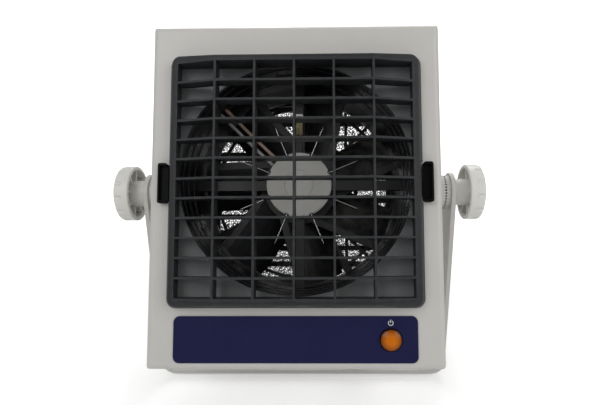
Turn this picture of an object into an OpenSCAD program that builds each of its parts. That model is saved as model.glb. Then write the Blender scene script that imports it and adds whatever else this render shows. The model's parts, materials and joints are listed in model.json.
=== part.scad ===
// Benchtop ionizing blower: a fan and emitter unit that tilts in a bent steel stand.
// Millimetres, +Z up. The origin is on the underside of the stand's foot, midway
// between its two screw holes and straight under the tilt axis. -Y is the front.
// The pieces of the tilting unit are drawn in the unit's own frame: X to the right,
// Y from the front face into the unit, Z up, with the fan axis through zero.

/* [Housing] */
// Width of the housing
body_w = 147; // [143:1:160]
// Height of the housing
body_h = 173.5; // [171:0.5:190]
// Depth of the housing, front face to rear panel
body_d = 63.5; // [62:0.5:80]
// Height of the fan axis above the underside of the housing
axis_up = 94.5; // [93:0.5:104]
// Thickness of the sheet metal
wall = 1.5; // [1:0.1:2]
// Rounding of the housing's edges
edge_r = 3; // [2:0.1:5]
// Size of the corner brackets that hold the rear panel
bracket = 11; // [9:0.5:13]

/* [Tilt stand] */
// Gap between the housing's side and each arm
side_gap = 11.7; // [11:0.1:14]
// Depth of the foot of the stand, front to back
stand_d = 58; // [50:1:80]
// Thickness of the stand's steel strap
strap = 2.5; // [2:0.1:3]
// Outside radius of the bend between foot and arm
bend_r = 8; // [5:0.5:12]
// Radius of the rounded top of each arm
arm_top_r = 11; // [10:0.5:14]
// Height of the tilt axis above the underside of the foot
pivot_h = 111; // [109:0.5:130]
// Distance of the tilt axis behind the front face
pivot_back = 38; // [34:0.5:42]
// Distance of the tilt axis below the fan axis
pivot_drop = 3.5; // [0:0.5:6]
// How far the unit leans back as it stands
tilt = 30; // [0:1:45]
// Height of the rubber feet
foot_h = 2; // [1.5:0.1:4]
// Radius of the rubber feet
foot_r = 6; // [4:0.5:8]
// Distance between the two bench screw holes
bench_pitch = 110; // [80:1:130]
// Radius of the bench screw holes
bench_hole_r = 2.6; // [2:0.1:3.2]

/* [Clamps] */
// Radius of the serrated rings
ring_r = 9.6; // [9:0.1:10.4]
// Inner radius of the serrations
tooth_in_r = 6.6; // [6:0.1:7.4]
// Number of serrations round a ring
teeth = 36; // [24:1:40]
// Depth of the serrations
tooth_d = 0.9; // [0.5:0.1:1.2]
// Length of the housing's ring, from the housing's side to the serrations
boss_len = 8.8; // [8:0.1:10]
// Gap between the two sets of serrations when the clamps are slack
tooth_gap = 0.15; // [0.1:0.05:0.4]
// Radius of the clamp knobs
knob_r = 15.7; // [14:0.1:18]
// Width of the knob's rim
knob_rim = 8.5; // [7:0.1:11]
// Radius of the knob's hub
knob_hub_r = 7.5; // [6.5:0.1:8.5]
// Length of the knob's hub between the arm and the rim
knob_neck = 6.7; // [5:0.1:9]
// Number of grip grooves round the knob
knob_grooves = 12; // [8:1:14]
// Radius of the clamp studs
stud_r = 3; // [2.5:0.1:3.5]

/* [Grille] */
// Distance between upright bars
cell_w = 19.37; // [19:0.01:19.6]
// Distance between level bars
cell_h = 9.62; // [9.4:0.01:9.8]
// Thickness of the grille's bars
bar_t = 1.1; // [0.9:0.1:2]
// Depth of the grille's bars
bar_d = 8; // [5:0.5:8.4]
// How far the flat middle of the grille stands in front of the housing
grille_out = 11; // [10.5:0.1:14]
// How far the two sloping sides of the grille stand out at their edges
grille_side_out = 6.2; // [5.6:0.1:8]
// Width of the flat border round the cells
border = 2.9; // [2.5:0.1:3]
// How far the grille's skirt spreads from the border to the housing
skirt = 2.65; // [2:0.05:2.8]
// How far the middle of the cells lies below the fan axis
grille_drop = 1.43; // [1:0.01:2]

/* [Latches] */
// Height of a latch button
latch_h = 20; // [16:0.5:24]
// Width of a latch button
latch_w = 5.4; // [5.2:0.1:5.8]
// How far a latch button stands out of the housing
latch_out = 3.8; // [3:0.1:4.4]
// How far a latch button is pressed to let the grille go
latch_travel = 1.5; // [1:0.1:1.6]

/* [Air path] */
// Radius of the opening in the baffle panel
mouth_r = 59.4; // [58.6:0.1:60]
// Thickness of the baffle panel
baffle_t = 2.4; // [1.5:0.1:3]
// Outside width of the fan
fan_w = 119; // [118:0.5:120]
// Depth of the fan
fan_d = 25.4; // [24:0.1:27]
// Radius of the fan's bore
fan_bore_r = 58; // [57:0.1:58.4]
// Distance between fan screws
fan_pitch = 105; // [104:0.5:106]
// Number of fan blades
blades = 7; // [5:1:9]
// Radius of the rotor's hub
rotor_r = 21.5; // [20:0.5:25]
// Clearance between blade tips and bore
tip_gap = 1.5; // [0.8:0.1:3]
// Radius of the rotor's shaft
shaft_r = 2; // [1.5:0.1:2.5]

/* [Emitter] */
// Radius of the emitter hub
hub_r = 18.2; // [17:0.1:20]
// Thickness of the emitter hub
hub_t = 3; // [2.4:0.1:3.2]
// Radius of the circle through the needle points
needle_tip_r = 36; // [32:0.5:37.5]
// Radius of a needle
needle_r = 0.4; // [0.3:0.05:0.5]
// Number of needles
needles = 8; // [4:1:10]
// Thickness of the emitter frame
frame_t = 3.6; // [3:0.1:4.4]
// Width of the emitter frame's struts
strut_w = 5.7; // [4:0.1:8]
// Radius of the pin that the brush arm turns on
stem_r = 6; // [5:0.1:7]
// Outer radius of the brush arm
brush_r = 44.5; // [43:0.5:48]
// Radius of a high-voltage lead
lead_r = 0.95; // [0.7:0.05:1.1]

/* [Label and lamp] */
// Width of the label plate
label_w = 119.4; // [100:0.5:125]
// Height of the label plate
label_h = 22.5; // [18:0.5:23]
// Height of the label's lower edge above the underside of the housing
label_up = 3.5; // [3.2:0.1:4.5]
// Thickness of the label plate
label_t = 0.6; // [0.4:0.1:1]
// Radius of the lamp's lens
lamp_r = 5; // [4:0.1:6]
// Place of the lamp to the right of the middle
lamp_x = 46.5; // [42:0.5:50]
// Height of the lamp above the underside of the housing
lamp_up = 14.6; // [13.5:0.1:16]

/* [Filter] */
// Outside width of the filter cover
filter_w = 127; // [126.5:0.5:130]
// Depth of the filter cover behind the rear panel
filter_d = 8.5; // [8:0.1:12]
// Width of the filter frame's opening
filter_open = 112; // [108:0.5:113]
// Number of level slats on the filter cover
slats = 11; // [7:1:13]

/* [Rear fittings] */
// Place of the power inlet to the left of the middle, seen from the front
inlet_x = 46; // [42:1:48]
// Place of the power switch to the left of the middle
switch_x = 6; // [0:1:12]
// Place of the speed knob to the right of the middle
speed_x = 34; // [28:1:44]
// Height of these fittings above the underside of the housing
fittings_up = 15.2; // [15:0.1:16.5]
// Radius of the speed knob
speed_r = 7; // [6:0.5:8]
// Height of the speed knob
speed_h = 12; // [9:0.5:15]
// Angle between the rocker's two positions
rock = 16; // [10:1:20]

/* [Electronics] */
// Width of the high-voltage module
module_w = 44; // [36:1:50]
// Depth of the high-voltage module
module_d = 28; // [22:1:30]
// Height of the high-voltage module
module_h = 24; // [18:1:30]
// Width of the control board
board_w = 52; // [44:1:60]
// Depth of the control board
board_d = 36; // [32:1:38]
// Height of the board above the floor of the housing
board_up = 6; // [4:0.5:8]

/* [Hidden] */
$fn = 64;

light_grey = "#c9c7c2";
slate = "#4a5154";
near_black = "#1c1e20";
knob_white = "#dcdbd6";
steel = "#b4b6b8";
brass = "#c3a35a";
eps = 0.01;
fit = 0.05;      // radial clearance of a running fit
slack = 0.3;     // clearance of a loose fit
top = body_h - axis_up;
bottom = -axis_up;
inner_w = body_w - 2 * wall;
stand_w = body_w + 2 * (side_gap + strap);
arm_out = stand_w / 2;
arm_in = arm_out - strap;
boss_end = body_w / 2 + boss_len;
hole_r = stud_r + slack;

// Stations along the air path, measured back from the front face
baffle_y = wall;
duct_y = baffle_y + baffle_t;
panel_y = body_d - wall;
fan_y = panel_y - fan_d;
frame_y = fan_y - frame_t - 0.2;
arm_t = 1.2;
arm_y = frame_y - slack - arm_t;
hub_y = arm_y - slack - hub_t;
needle_y = hub_y + 0.56 * hub_t;
mount_xy = fan_pitch / 2;

// Outline of the grille
open_w = 6 * cell_w;
open_top = -grille_drop + 6 * cell_h;
open_bottom = -grille_drop - 6 * cell_h;
grille_w = open_w + 2 * (border + skirt);
grille_mid = -grille_drop;
grille_h = 12 * cell_h + 2 * (border + skirt);
crease = 2 * cell_w;
lip = 0.8;

lamp_z = bottom + lamp_up;
fittings_z = bottom + fittings_up;

// Clearance holes, screws and inserts
screw_r = 1.5;
insert_r = 4.8;
fan_screw_r = 2;

// Latches
latch_x = grille_w / 2 - 0.45;
latch_z = -pivot_drop + 0.5;
stem_w = 2.2;
stem_h = 14;

// Emitter, brush and leads
// Direction of the leads, up and to the left of the hub
lead_angle = 136;
lead_y = frame_y + frame_t / 2;
lead_out_y = frame_y - 6;
lead_x = inner_w / 2 - 6;
brush_y = hub_y - 1;
bristle_y = needle_y - needle_r - 0.25;

// Fan
spider_turn = 30;
post_r = 8;
cup_y = fan_y + 3.5;
cup_end = panel_y - 5;
bearing_r = 6;
bearing_t = 4;

// Filter
cover_t = 1.6;
filter_seat = body_d + 2.5;
frame_w = filter_w - 2 * cover_t - 0.4;
frame_top = body_d + filter_d - 3.5;
corner_cut_r = 0.593 * filter_open;

// Electronics
module_x = 4 - inner_w / 2;
module_top = bottom + wall + module_h + 2;
board_x = -16;
board_y = panel_y - board_d - 18;
board_z = bottom + wall + board_up;
board_t = 1.6;
hole_in = 4;

// Fittings on the rear panel
inlet_w = 27.4;
inlet_h = 20;
inlet_screw = 20;
flange_t = 2.4;
socket_d = 15.5;
switch_w = 19.2;
switch_h = 13;
rocker_y = body_d - 1;
bush_r = 3.6;
shaft_hole_r = 3.05;

// ---------- helpers ----------
// Puts a piece of the tilting unit where it stands
module in_unit() {
    translate([0, 0, pivot_h])
        rotate([-tilt, 0, 0])
            translate([0, -pivot_back, pivot_drop])
                children();
}

// Turns an outline drawn in X and Z into a plate from y0 to y1
module plate(y0, y1) {
    translate([0, y1, 0])
        rotate([90, 0, 0])
            linear_extrude(y1 - y0)
                children();
}

// A disc or ring profile turned about the fan axis; profile in (radius, y)
module about_y() {
    rotate([-90, 0, 0])
        rotate_extrude($fn = 128)
            children();
}

module rod_y(r, y0, y1, fn = 64) {
    translate([0, y0, 0])
        rotate([-90, 0, 0])
            cylinder(r = r, h = y1 - y0, $fn = fn);
}

module rounded(w, h, r) {
    square([w - 2 * r, h], center = true);
    square([w, h - 2 * r], center = true);
    for (sx = [-1, 1], sy = [-1, 1])
        translate([sx * (w / 2 - r), sy * (h / 2 - r)])
            circle(r);
}

// A box open to the rear whose front edges and four long edges are rounded
module soft_box(w, z0, z1, y0, y1, r) {
    h = z1 - z0;
    d = y1 - y0;
    intersection() {
        translate([0, 0, (z0 + z1) / 2])
            plate(y0, y1) rounded(w, h, r);
        translate([0, y0 + d, z0])
            linear_extrude(h) rounded(w, 2 * d, r);
        translate([-w / 2, y0 + d, (z0 + z1) / 2])
            rotate([90, 0, 90])
                linear_extrude(w) rounded(2 * d, h, r);
    }
}

// side = 1 draws the right-hand piece, side = -1 its mirror image
module on_side(side) {
    if (side > 0)
        children();
    else
        mirror([1, 0, 0]) children();
}

// Stands a piece drawn along +Z on the tilt axis, at a distance x from the middle
module on_axis(x) {
    translate([x, pivot_back, -pivot_drop])
        rotate([0, 90, 0])
            children();
}

module at_corners(x, z) {
    for (sx = [-1, 1], sz = [-1, 1])
        translate([sx * x, 0, sz * z])
            children();
}

// ---------- tilt stand ----------
module side_outline() {
    knee = bend_r;
    run = stand_d / 2;
    rise = pivot_h - knee;
    reach = sqrt(run * run + rise * rise);
    lean = atan2(run, rise) - asin(arm_top_r / reach);
    touch = [arm_top_r * cos(lean), pivot_h + arm_top_r * sin(lean)];
    polygon([[-run, 0], [run, 0], [run, knee], touch,
        [-touch[0], touch[1]], [-run, knee]]);
    translate([0, pivot_h])
        circle(arm_top_r);
}

module stand_bracket() {
    tall = pivot_h + arm_top_r;
    color(light_grey)
        difference() {
            intersection() {
                translate([0, stand_d / 2, tall])
                    rotate([90, 0, 0])
                        linear_extrude(stand_d)
                            difference() {
                                rounded(stand_w, 2 * tall, bend_r);
                                rounded(stand_w - 2 * strap, 2 * (tall - strap), bend_r - strap);
                                translate([-stand_w, 0])
                                    square([2 * stand_w, 2 * tall]);
                            }
                translate([-stand_w / 2, 0, 0])
                    rotate([90, 0, 90])
                        linear_extrude(stand_w) side_outline();
            }
            translate([-stand_w, 0, pivot_h])
                rotate([0, 90, 0])
                    cylinder(r = hole_r, h = 2 * stand_w);
            for (s = [-1, 1])
                translate([s * bench_pitch / 2, 0, -1])
                    cylinder(r = bench_hole_r, h = strap + 2);
        }
}

// A ring with radial serrations on its far end
module serrated_ring(length, bore_r) {
    groove = 1.7 * PI * tooth_in_r / teeth;
    difference() {
        cylinder(r = ring_r, h = length);
        translate([0, 0, -eps])
            cylinder(r = bore_r, h = length + 2 * eps);
        translate([0, 0, length - tooth_d])
            cylinder(r = tooth_in_r, h = tooth_d + eps);
        for (i = [0 : teeth - 1])
            rotate(i * 360 / teeth)
                translate([tooth_in_r - 0.4, 0, length])
                    rotate([90, 0, 90])
                        linear_extrude(ring_r - tooth_in_r + 1)
                            polygon([[-groove / 2, eps], [groove / 2, eps], [0, -tooth_d]]);
    }
}

module arm_ratchet(side) {
    color(light_grey)
        on_side(side)
            translate([arm_in, 0, pivot_h])
                rotate([0, -90, 0])
                    serrated_ring(arm_in - boss_end - tooth_gap, hole_r);
}

module arm_ratchet_left() arm_ratchet(-1);
module arm_ratchet_right() arm_ratchet(1);

module rubber_feet() {
    inset = foot_r + 3;
    color(near_black)
        for (sx = [-1, 1], sy = [-1, 1])
            translate([sx * (stand_w / 2 - bend_r - inset), sy * (stand_d / 2 - inset), -foot_h])
                cylinder(r1 = foot_r - 0.6, r2 = foot_r, h = foot_h);
}

// ---------- housing ----------
module housing_shell() {
    color(light_grey)
        in_unit()
            difference() {
                soft_box(body_w, bottom, top, 0, body_d, edge_r);
                soft_box(inner_w, bottom + wall, top - wall, wall, body_d + 1, edge_r - wall + 0.2);
                translate([0, 0, grille_mid])
                    plate(-1, wall + 1) square([open_w + 1, 12 * cell_h + 1], center = true);
                for (s = [-1, 1])
                    translate([s * (latch_x + latch_w / 2 - latch_travel / 2), 0, latch_z])
                        plate(-1, wall + 1)
                            square([stem_w + latch_travel + 2 * slack, stem_h + 2 * slack],
                                center = true);
                translate([lamp_x, 0, lamp_z])
                    rod_y(lamp_r - 0.3, -1, wall + 1);
                on_axis(-body_w)
                    cylinder(r = insert_r, h = 2 * body_w);
            }
}

module corner_brackets() {
    x = (inner_w - bracket) / 2;
    color(steel)
        in_unit()
            for (sx = [-1, 1], z = [top - wall - bracket / 2, bottom + wall + bracket / 2])
                translate([sx * x, 0, z])
                    difference() {
                        plate(panel_y - bracket, panel_y)
                            rounded(bracket, bracket, edge_r - wall + 0.3);
                        rod_y(screw_r, panel_y - bracket - 1, panel_y + 1);
                    }
}

module rear_panel() {
    color(light_grey)
        in_unit()
            difference() {
                translate([0, 0, (top + bottom) / 2])
                    plate(panel_y, body_d)
                        rounded(inner_w - slack, body_h - 2 * wall - slack, edge_r - wall);
                rod_y(fan_bore_r, panel_y - 1, body_d + 1, 128);
                at_corners(mount_xy, mount_xy)
                    rod_y(fan_screw_r + 0.2, panel_y - 1, body_d + 1);
                for (sx = [-1, 1], z = [top - wall - bracket / 2, bottom + wall + bracket / 2])
                    translate([sx * (inner_w - bracket) / 2, 0, z])
                        rod_y(screw_r + 0.2, panel_y - 1, body_d + 1);
                translate([-inlet_x, 0, fittings_z])
                    plate(panel_y - 1, body_d + 1) rounded(inlet_w, inlet_h, 3);
                for (s = [-1, 1])
                    translate([-inlet_x + s * inlet_screw, 0, fittings_z])
                        rod_y(screw_r + 0.1, panel_y - 1, body_d + 1);
                translate([-switch_x, 0, fittings_z])
                    plate(panel_y - 1, body_d + 1) square([switch_w, switch_h], center = true);
                translate([speed_x, 0, fittings_z])
                    rod_y(bush_r, panel_y - 1, body_d + 1);
            }
}

module screw(y, length, r, head_r, head_h) {
    rod_y(r, y - length, y + eps, 32);
    difference() {
        rod_y(head_r, y, y + head_h, 48);
        translate([0, y + 0.6 * head_h, 0])
            plate(0, head_h) square([1.6 * head_r, 0.28 * head_r], center = true);
        translate([0, y + 0.6 * head_h, 0])
            plate(0, head_h) square([0.28 * head_r, 1.6 * head_r], center = true);
    }
}

module rear_screws() {
    color(steel)
        in_unit()
            for (sx = [-1, 1], z = [top - wall - bracket / 2, bottom + wall + bracket / 2])
                translate([sx * (inner_w - bracket) / 2, 0, z])
                    screw(body_d, bracket - 1, screw_r, 3, 1.8);
}

module baffle_panel() {
    color(slate)
        in_unit()
            difference() {
                translate([0, 0, grille_mid])
                    plate(baffle_y, baffle_y + baffle_t)
                        square([open_w + 9, 12 * cell_h + 9], center = true);
                rod_y(mouth_r, baffle_y - 1, baffle_y + baffle_t + 1, 128);
            }
}

module duct_ring() {
    r = mouth_r;
    d = frame_y - duct_y;
    color(near_black)
        in_unit()
            difference() {
                translate([0, duct_y, 0])
                    about_y()
                        polygon([[r, 0], [r + 3, 0], [r + 3, 2], [r + 1.8, 2], [r + 1.8, d],
                            [fan_bore_r, d], [fan_bore_r, 0.75 * d], [r - 0.9, 0.75 * d],
                            [r - 0.9, 0.45 * d], [r - 0.45, 0.45 * d], [r - 0.45, 0.18 * d],
                            [r, 0.18 * d]]);
                lead_place()
                    translate([mouth_r, lead_out_y, 0])
                        rotate([0, 90, 0])
                            cylinder(r = 3.6, h = 12, center = true);
            }
}

// ---------- label and lamp ----------
module label_plate() {
    color("#26264d")
        in_unit()
            difference() {
                translate([0, 0, bottom + label_up + label_h / 2])
                    plate(-label_t, 0) rounded(label_w, label_h, 3);
                translate([lamp_x, 0, lamp_z])
                    rod_y(lamp_r + 0.6, -label_t - 1, 1);
            }
}

module lamp_bezel() {
    color(near_black)
        in_unit()
            translate([lamp_x, 0, lamp_z])
                difference() {
                    rod_y(lamp_r + 0.5, -1.2, 0);
                    rod_y(lamp_r, -2, 1);
                }
}

module lamp_lens() {
    dome = 1.2;
    ball = (lamp_r * lamp_r + dome * dome) / (2 * dome);
    color("#d8860c")
        in_unit()
            translate([lamp_x, 0, lamp_z]) {
                rod_y(lamp_r, -1.8, 0);
                intersection() {
                    translate([0, -1.8 - dome + ball, 0])
                        rotate([90, 0, 0])
                            sphere(ball, $fn = 128);
                    rod_y(lamp_r, -1.8 - dome - 1, -1.8 + eps);
                }
            }
}

module lamp_body() {
    color(near_black)
        in_unit()
            translate([lamp_x, 0, lamp_z]) {
                rod_y(lamp_r - 0.4, 0, 20);
                rod_y(lamp_r + 1.5, wall, wall + 3);
                for (s = [-1, 1])
                    translate([s * 2, 22.5, 0])
                        cube([0.8, 5, 2.8], center = true);
            }
}

// ---------- clamps ----------

module body_ratchet(side) {
    color(light_grey)
        in_unit()
            on_side(side)
                on_axis(body_w / 2)
                    serrated_ring(boss_len, insert_r);
}

module body_ratchet_left() body_ratchet(-1);
module body_ratchet_right() body_ratchet(1);

module threaded_inserts() {
    color(brass)
        in_unit()
            for (side = [-1, 1])
                on_side(side)
                    on_axis(body_w / 2 - wall - 4)
                        difference() {
                            union() {
                                cylinder(r = insert_r, h = boss_len + wall + 2);
                                cylinder(r = insert_r + 1.8, h = 4);
                            }
                            translate([0, 0, -1])
                                cylinder(r = stud_r + fit, h = boss_len + 10);
                        }
}

module clamp_knob(side) {
    h = knob_neck + knob_rim;
    web = 2.5;
    rim_t = 1.9;
    ribs = 8;
    color(knob_white)
        in_unit()
            on_side(side)
                on_axis(arm_out + 0.1) {
                    difference() {
                        rotate_extrude($fn = 96)
                            polygon([[stud_r, 0], [knob_hub_r - 0.5, 0], [knob_hub_r, 0.5],
                                [knob_hub_r, h - web], [knob_r - rim_t, h - web],
                                [knob_r - rim_t, knob_neck], [knob_r - 0.4, knob_neck],
                                [knob_r, knob_neck + 0.4], [knob_r, h - 1.6],
                                [knob_r - 0.5, h - 0.6], [knob_r - 1.6, h],
                                [knob_hub_r, h + 0.8], [0, h + 0.8], [0, h - web],
                                [stud_r, h - web]]);
                        for (i = [0 : knob_grooves - 1])
                            rotate((i + 0.5) * 360 / knob_grooves)
                                translate([knob_r + 0.5, 0, knob_neck + 0.45 * knob_rim])
                                    cylinder(r = 1.3, h = knob_rim);
                    }
                    for (i = [0 : ribs - 1])
                        rotate(i * 360 / ribs)
                            translate([knob_hub_r - 0.3, -0.7, knob_neck + 1.5])
                                cube([knob_r - rim_t - knob_hub_r + 0.6, 1.4,
                                    knob_rim - web - 1.5 + eps]);
                }
}

module clamp_knob_left() clamp_knob(-1);
module clamp_knob_right() clamp_knob(1);

module knob_stud(side) {
    start = body_w / 2 - wall - 6;
    color(steel)
        in_unit()
            on_side(side)
                on_axis(start)
                    cylinder(r = stud_r, h = arm_out + 0.1 + knob_neck + knob_rim - 2.5 - start);
}

module knob_stud_left() knob_stud(-1);
module knob_stud_right() knob_stud(1);

// ---------- grille and latches ----------
// Top view of the grille's front: a flat middle between two sloping sides.
// back moves the whole outline towards the housing.
module bay(half_w, back) {
    slope = (grille_out - grille_side_out) / (grille_w / 2 - skirt - crease);
    edge = grille_out - slope * (half_w - crease);
    polygon([[-half_w, 0], [-half_w, back - edge], [-crease, back - grille_out],
        [crease, back - grille_out], [half_w, back - edge], [half_w, 0]]);
}

module bay_block(half_w, back, z0, z1) {
    translate([0, 0, z0])
        linear_extrude(z1 - z0) bay(half_w, back);
}

// The frame's flared sides, with corners rounded from the foot to the front
module skirt_block() {
    side_skirt = skirt * grille_out / grille_side_out;
    translate([0, 0, grille_mid])
        hull() {
            plate(-0.2, -slack / 3)
                rounded(grille_w, grille_h, 4.5, $fn = 32);
            plate(-grille_out, -grille_out + 0.1)
                rounded(grille_w - 2 * side_skirt, grille_h - 2 * skirt, 3, $fn = 32);
        }
}

module grille() {
    half = grille_w / 2;
    lip_w = 1.3;
    color(slate)
        in_unit() {
            // frame with its spreading skirt
            difference() {
                intersection() {
                    bay_block(half, lip, grille_mid - grille_h / 2, grille_mid + grille_h / 2);
                    skirt_block();
                }
                translate([0, 0, grille_mid])
                    plate(-2 * grille_out, 1) square([open_w, 12 * cell_h], center = true);
                for (s = [-1, 1])
                    translate([s * (half + 5 - latch_travel - 0.45 - slack), -1, latch_z])
                        cube([10, 2 * (latch_out + slack) - 2, latch_h + 2 * slack], center = true);
            }
            // raised lip round the cells
            intersection() {
                bay_block(half, 0, open_bottom - lip_w, open_top + lip_w);
                translate([0, 0, grille_mid])
                    plate(-2 * grille_out, -3)
                        difference() {
                            rounded(open_w + 2 * lip_w, 12 * cell_h + 2 * lip_w, 2);
                            square([open_w, 12 * cell_h], center = true);
                        }
            }
            // bars
            intersection() {
                difference() {
                    bay_block(half, 0, open_bottom - lip_w / 2, open_top + lip_w / 2);
                    translate([0, bar_d, 0])
                        bay_block(half + 1, 0, open_bottom - border, open_top + border);
                }
                translate([0, 0, grille_mid])
                    plate(-2 * grille_out, 0) {
                        for (i = [-2 : 2])
                            translate([i * cell_w, 0])
                                square([bar_t, 12 * cell_h + lip_w], center = true);
                        for (i = [-5 : 5])
                            translate([0, i * cell_h])
                                square([open_w + lip_w, bar_t], center = true);
                    }
            }
        }
}

module latch(side) {
    rim = 1.3;
    color(near_black)
        in_unit()
            on_side(side)
                translate([latch_x, 0, latch_z]) {
                    difference() {
                        intersection() {
                            translate([latch_w / 2, 0, 0])
                                plate(-latch_out, -0.1) rounded(latch_w, latch_h, 1.6);
                            translate([0, 0, -latch_h / 2])
                                linear_extrude(latch_h)
                                    polygon([[0, -0.1], [0, -latch_out], [latch_w - 0.9, -latch_out],
                                        [latch_w - 0.3, -latch_out + 0.4], [latch_w, -latch_out + 1.2],
                                        [latch_w, -0.1]]);
                        }
                        translate([(latch_w - rim) / 2 - 1, 0, 0])
                            plate(-latch_out - 1, -latch_out + 2)
                                rounded(latch_w - rim + 2, latch_h - 2 * rim, 1);
                    }
                    translate([latch_w / 2 - stem_w / 2, -0.1 - eps, -stem_h / 2])
                        cube([stem_w, 6, stem_h]);
                }
}

module latch_left() latch(-1);
module latch_right() latch(1);

// ---------- emitter ----------
module emitter_frame() {
    color(near_black)
        in_unit() {
            difference() {
                plate(frame_y, frame_y + frame_t) rounded(fan_w, fan_w, 6);
                rod_y(fan_bore_r, frame_y - 1, fan_y, 128);
                at_corners(mount_xy, mount_xy)
                    rod_y(fan_screw_r + 0.2, frame_y - 1, fan_y);
            }
            plate(frame_y, frame_y + frame_t) {
                square([2 * fan_bore_r + 1, strut_w], center = true);
                square([strut_w, 2 * fan_bore_r + 1], center = true);
                circle(15);
            }
            rod_y(stem_r, hub_y + hub_t, frame_y + eps);
        }
}

module emitter_hub() {
    embossed_r = 8.3;
    notch_r = 1.3;
    color("#96958f")
        in_unit()
            difference() {
                union() {
                    plate(hub_y + 0.5, hub_y + hub_t) circle(hub_r, $fn = 128);
                    plate(hub_y, hub_y + 0.6) circle(hub_r - 0.6, $fn = 128);
                }
                difference() {
                    rod_y(embossed_r, hub_y - 1, hub_y + 0.35);
                    rod_y(embossed_r - 0.5, hub_y - 2, hub_y + 1);
                }
                for (i = [0 : needles - 1])
                    rotate([0, (i + 0.5) * 360 / needles, 0])
                        translate([hub_r + 0.3, 0, 0])
                            rod_y(notch_r, hub_y - 1, hub_y + hub_t + 1, 32);
                for (i = [0 : needles - 1])
                    rotate([0, (i + 0.5) * 360 / needles, 0])
                        translate([hub_r - 4.5, needle_y, 0])
                            rotate([0, 90, 0])
                                cylinder(r = needle_r, h = 6, $fn = 24);
            }
}

module emitter_needles() {
    taper = 3;
    color(steel)
        in_unit()
            for (i = [0 : needles - 1])
                rotate([0, (i + 0.5) * 360 / needles, 0])
                    translate([hub_r - 4.5, needle_y, 0])
                        rotate([0, 90, 0]) {
                            cylinder(r = needle_r, h = needle_tip_r - hub_r + 4.5 - taper, $fn = 24);
                            translate([0, 0, needle_tip_r - hub_r + 4.5 - taper])
                                cylinder(r1 = needle_r, r2 = 0.08, h = taper, $fn = 24);
                        }
}

module lead_place() {
    rotate([0, -lead_angle, 0])
        children();
}

// A tube with flat ends that follows a list of points
module tube(path, r) {
    sides = 8;
    last = len(path) - 1;
    function unit(v) = v / norm(v);
    function aim(i) = unit(path[min(i + 1, last)] - path[max(i - 1, 0)]);
    function ring(i) = let (t = aim(i), a = unit(cross(t, [0, 1, 0])), b = cross(t, a))
        [for (k = [0 : sides - 1]) path[i] + r * (a * cos(k * 360 / sides) + b * sin(k * 360 / sides))];
    points = [for (i = [0 : last]) each ring(i)];
    walls = [for (i = [0 : last - 1], k = [0 : sides - 1])
        let (n = (k + 1) % sides)
            [i * sides + k, i * sides + n, (i + 1) * sides + n, (i + 1) * sides + k]];
    ends = [[for (k = [sides - 1 : -1 : 0]) k], [for (k = [0 : sides - 1]) last * sides + k]];
    polyhedron(points, concat(walls, ends));
}

// Route of a high-voltage lead, in the unit's frame: along the open quarter of the
// emitter frame, out through the duct's wall and down its outside to the module
function along(radius, y, side) =
    [radius * cos(lead_angle) - side * sin(lead_angle), y, radius * sin(lead_angle) + side * cos(lead_angle)];
function lead_route(side) = [
    along(15.2, lead_y, side), along(40, lead_y, side), along(46, lead_y - 0.6, side),
    along(52, lead_y - 4, side), along(57, lead_out_y - 0.2, side), along(62, lead_out_y, side),
    along(66, lead_out_y - 1, side), [10 - lead_x, lead_out_y - 3 + side, 40],
    [3 - lead_x, lead_out_y - 4 + side, 24], [-lead_x, lead_out_y - 4 + 1.5 * side, 4],
    [-lead_x, lead_out_y - 4 + 1.5 * side, -24], [3 - lead_x, lead_out_y - 3 + 1.5 * side, -44],
    [9 - lead_x, lead_out_y - 2 + 1.5 * side, -58],
    [module_x + 14, lead_out_y - 2 + 1.5 * side, module_top + 0.05]];

module hv_leads() {
    color("#c8c8c6")
        in_unit()
            for (side = [-2, 2])
                tube(lead_route(side), lead_r);
}

// ---------- brush ----------
module brush_arm() {
    block_w = 5;
    color(near_black)
        in_unit() {
            difference() {
                plate(arm_y, arm_y + arm_t) {
                    circle(9);
                    translate([-1.6, 0])
                        square([3.2, brush_r - 2]);
                    translate([-block_w / 2, needle_tip_r + 3])
                        square([block_w, brush_r - needle_tip_r - 3]);
                }
                rod_y(stem_r + fit, arm_y - 1, arm_y + arm_t + 1);
            }
            plate(brush_y, arm_y + eps)
                translate([-block_w / 2, needle_tip_r + 4])
                    square([block_w, brush_r - needle_tip_r - 4]);
        }
}

module brush_clip() {
    color(steel)
        in_unit()
            difference() {
                plate(brush_y - 0.3, bristle_y + 0.3)
                    translate([-2.4, needle_tip_r + 1])
                        square([4.8, 3]);
                plate(brush_y, bristle_y)
                    translate([-2, needle_tip_r])
                        square([4, 5]);
            }
}

module brush_bristles() {
    color("#cbbd97")
        in_unit()
            plate(brush_y, bristle_y)
                translate([-2, needle_tip_r - 8])
                    square([4, 12]);
}

// ---------- fan ----------
module fan_frame() {
    flange = 4.5;
    ring = fan_w / 2;
    color(near_black)
        in_unit() {
            difference() {
                union() {
                    for (y = [fan_y, panel_y - flange])
                        plate(y, y + flange) rounded(fan_w, fan_w, 6);
                    rod_y(ring, fan_y, panel_y, 128);
                }
                rod_y(fan_bore_r, fan_y - 1, panel_y + 1, 128);
                at_corners(mount_xy, mount_xy)
                    rod_y(fan_screw_r + 0.2, fan_y - 1, panel_y + 1);
            }
            plate(panel_y - 4, panel_y)
                difference() {
                    union() {
                        circle(rotor_r - 1);
                        for (i = [0 : 3])
                            rotate(i * 90 + spider_turn)
                                translate([0, -2.5])
                                    square([fan_bore_r + 0.5, 5]);
                    }
                    circle(post_r);
                }
        }
}

// Bowed section of a fan blade, passing through zero
module blade_section(bow, t) {
    intersection() {
        translate([bow, 0])
            difference() {
                circle(bow + t / 2, $fn = 96);
                circle(bow - t / 2, $fn = 96);
            }
        square([24, 4 * bow], center = true);
    }
}

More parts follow.
